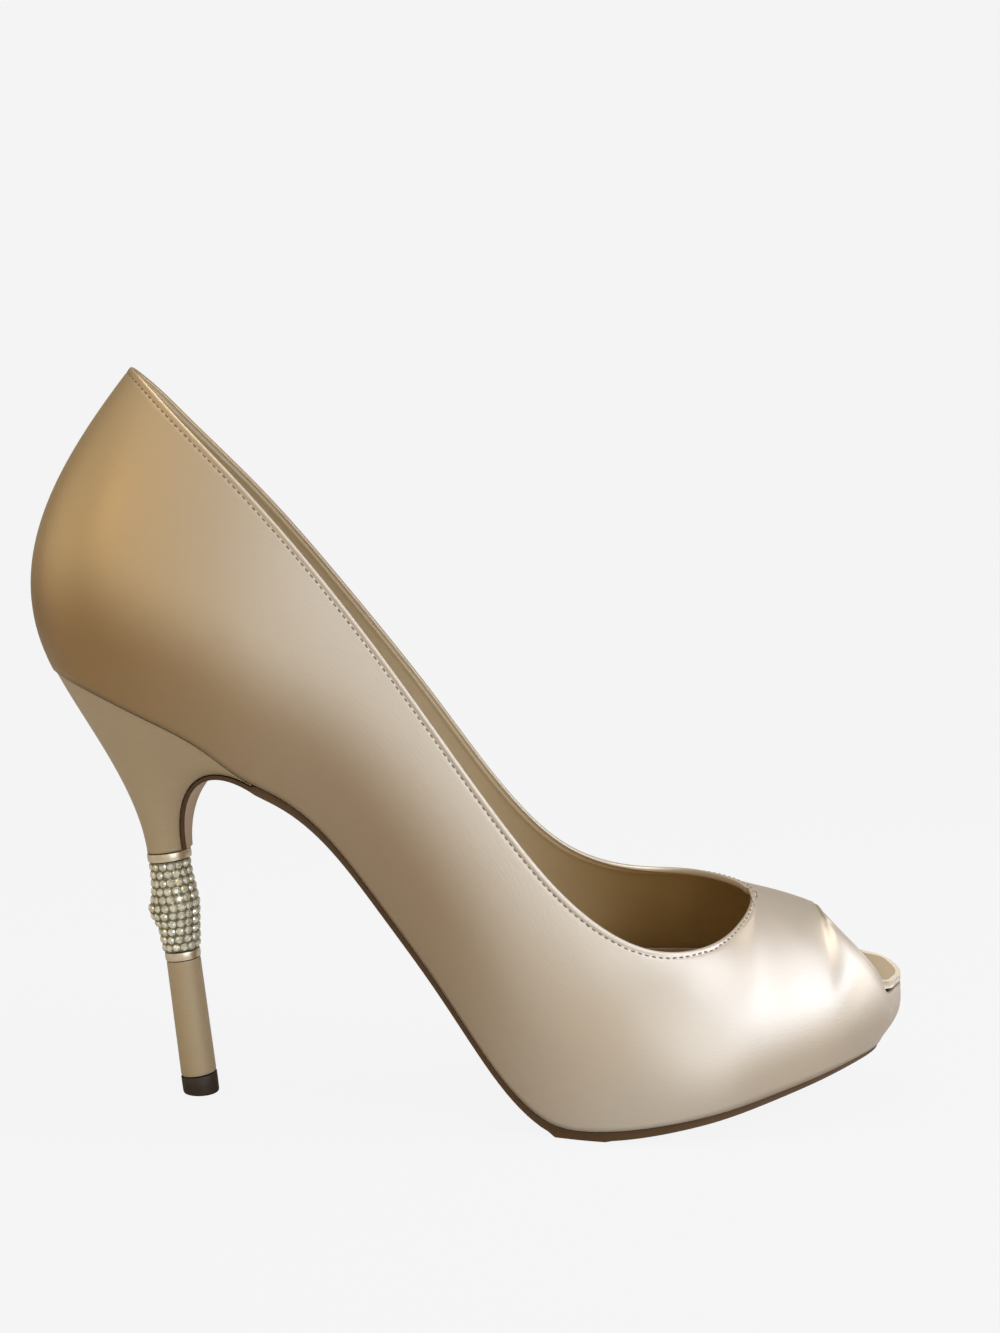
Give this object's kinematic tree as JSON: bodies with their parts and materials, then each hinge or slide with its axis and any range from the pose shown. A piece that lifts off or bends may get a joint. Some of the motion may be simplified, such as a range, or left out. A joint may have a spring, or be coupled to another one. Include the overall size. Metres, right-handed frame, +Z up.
{
  "type": "peep toe pump",
  "caption": "Champagne satin peep toe pump with a hidden platform and a slim covered heel with a crystal-set sleeve.",
  "frame": {"origin": "centre of the heel tip's tread, on the floor", "axes": "+X forward to the toe, +Y towards the inner side of the right foot, +Z up"},
  "size_m": [0.2131, 0.0755, 0.1774],
  "materials": {
    "satin": "satin",
    "heel_satin": "satin",
    "sock_leather": "smooth",
    "sole_leather": "smooth",
    "platform_cover": "matte",
    "pale_gold": "polished",
    "crystal_pave": "faceted",
    "tip_rubber": "matte"
  },
  "bodies": {
    "root": {"upper": "satin", "insole": "sock_leather", "platform": "platform_cover", "outsole": "sole_leather", "heel_block": "heel_satin", "heel_ring_top": "pale_gold", "heel_sleeve": "crystal_pave", "heel_ring_low": "pale_gold", "heel_stem": "heel_satin", "heel_tip": "tip_rubber"}
  },
  "joints": []
}
